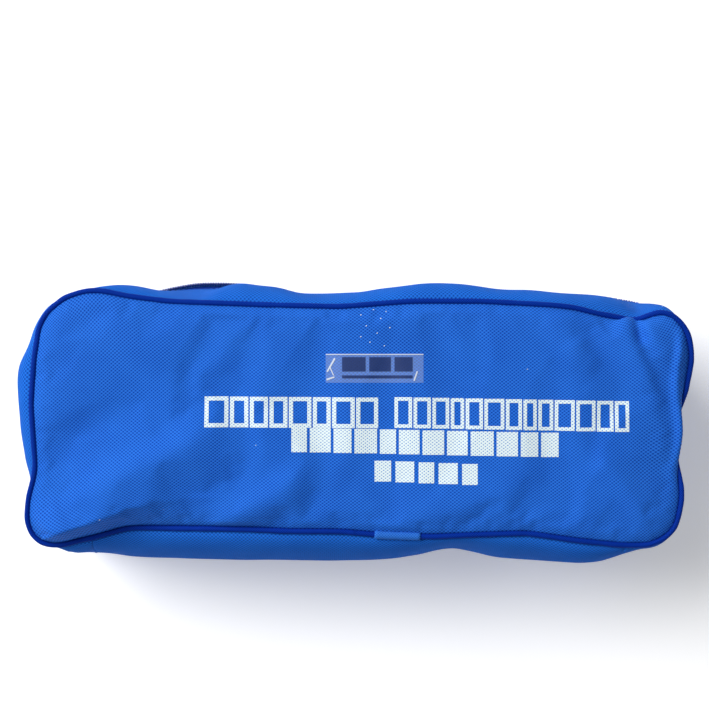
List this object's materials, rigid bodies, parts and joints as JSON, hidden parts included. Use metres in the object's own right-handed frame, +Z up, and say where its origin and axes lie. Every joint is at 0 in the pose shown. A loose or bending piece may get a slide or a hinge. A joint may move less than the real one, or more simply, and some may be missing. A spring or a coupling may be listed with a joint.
{
  "type": "bag valve mask in carry case",
  "caption": "Adult silicone resuscitator with mask and reservoir, packed in a soft zipped clamshell carry case with piped edges and a printed front.",
  "frame": {"origin": "middle of the back panel's outer face, which the case lies on", "axes": "+X along the case towards the mask end, +Y towards the long run of the zip, +Z up through the printed front"},
  "size_m": [0.38, 0.1607, 0.1244],
  "materials": {
    "shell_fabric": "coated matty weave, soft sheen",
    "trim_fabric": "narrow woven tape, matt",
    "zip_tape": "knitted tape, matt",
    "zip_coil": "nylon, satin",
    "zip_metal": "enamelled, semi-gloss",
    "stop_metal": "plain, satin",
    "print_ink": "screen print, matt, a little worn",
    "clear_film": "clear film, glossy",
    "bag_silicone": "translucent silicone, satin",
    "valve_silicone": "silicone, matt",
    "seal_rubber": "rubber, matt",
    "clear_plastic": "clear polysulfone, glossy",
    "amber_plastic": "amber polysulfone, glossy",
    "cap_plastic": "moulded, glossy",
    "spring_steel": "plain",
    "reservoir_film": "thin clear film",
    "band_rubber": "rubber, matt",
    "cushion_vinyl": "soft, satin"
  },
  "bodies": {
    "base": {"back_panel": "shell_fabric", "zip_gusset_base": "shell_fabric", "hinge_gusset_lower": "shell_fabric", "back_piping": "trim_fabric", "back_seam_binding": "trim_fabric", "zip_tape_base": "zip_tape", "zip_coil_base": "zip_coil", "zip_stops_base": "stop_metal", "squeeze_bag": "bag_silicone", "front_neck_ring": "clear_plastic", "valve_inlet_housing": "amber_plastic", "duckbill_valve": "valve_silicone", "duckbill_retainer": "clear_plastic", "swivel_o_ring": "seal_rubber", "relief_spring": "spring_steel", "relief_cap": "cap_plastic", "rear_neck_ring": "clear_plastic", "intake_housing": "clear_plastic", "reservoir_adapter": "clear_plastic", "overflow_cap": "cap_plastic", "reservoir_bag": "reservoir_film", "reservoir_band": "band_rubber", "mask_dome": "clear_plastic", "mask_cushion": "cushion_vinyl"},
    "lid": {"front_panel": "shell_fabric", "zip_gusset_lid": "shell_fabric", "hinge_gusset_upper": "shell_fabric", "front_piping": "trim_fabric", "piping_join_cover": "trim_fabric", "front_seam_binding": "trim_fabric", "zip_tape_lid": "zip_tape", "zip_coil_lid": "zip_coil", "zip_stops_lid": "stop_metal", "front_print": "print_ink", "clear_sticker": "clear_film"},
    "slider_left": {"slider_left": "zip_metal"},
    "slider_right": {"slider_right": "zip_metal"},
    "pull_left": {"pull_left": "zip_metal"},
    "pull_right": {"pull_right": "zip_metal"},
    "patient_port": {"patient_port_housing": "amber_plastic", "exhalation_cap": "amber_plastic"},
    "exhalation_disc": {"exhalation_disc": "valve_silicone"},
    "relief_disc": {"relief_disc": "valve_silicone"},
    "intake_disc": {"intake_disc": "valve_silicone"},
    "overflow_disc": {"overflow_disc": "valve_silicone"},
    "mask_hook_ring": {"mask_hook_ring": "cap_plastic"}
  },
  "joints": [
    {"name": "lid_hinge", "type": "hinge", "parent": "base", "child": "lid", "pos_m": [0, -0.0805, 0.0647], "axis": [1, 0, 0], "range_deg": [0, 180]},
    {"name": "zip_left", "type": "slide", "parent": "base", "child": "slider_left", "axis": [-1, 0, 0], "range_m": [0, 0.188]},
    {"name": "zip_right", "type": "slide", "parent": "base", "child": "slider_right", "axis": [1, 0, 0], "range_m": [0, 0.098]},
    {"name": "pull_left_swing", "type": "hinge", "parent": "slider_left", "child": "pull_left", "pos_m": [0.039, 0.0789, 0.062], "axis": [0, 0, -1], "range_deg": [0, 95]},
    {"name": "pull_right_swing", "type": "hinge", "parent": "slider_right", "child": "pull_right", "pos_m": [0.051, 0.0789, 0.062], "axis": [0, 0, 1], "range_deg": [0, 95]},
    {"name": "patient_port_swivel", "type": "hinge", "parent": "base", "child": "patient_port", "pos_m": [0.073, -0.014, 0.0585], "axis": [1, 0, 0], "continuous": true},
    {"name": "exhalation_lift", "type": "slide", "parent": "patient_port", "child": "exhalation_disc", "axis": [1, 0, 0], "range_m": [0, 0.0012]},
    {"name": "relief_lift", "type": "slide", "parent": "base", "child": "relief_disc", "axis": [0, 0, 1], "range_m": [0, 0.0025], "stiffness_N_per_m": 60, "springref_m": -0.002, "deforming": ["relief_spring"]},
    {"name": "intake_lift", "type": "slide", "parent": "base", "child": "intake_disc", "axis": [1, 0, 0], "range_m": [0, 0.002]},
    {"name": "overflow_lift", "type": "slide", "parent": "base", "child": "overflow_disc", "axis": [0, -1, 0], "range_m": [0, 0.0012]},
    {"name": "mask_ring_turn", "type": "hinge", "parent": "base", "child": "mask_hook_ring", "pos_m": [0.16, 0, 0.05], "axis": [1, 0, 0], "continuous": true}
  ]
}
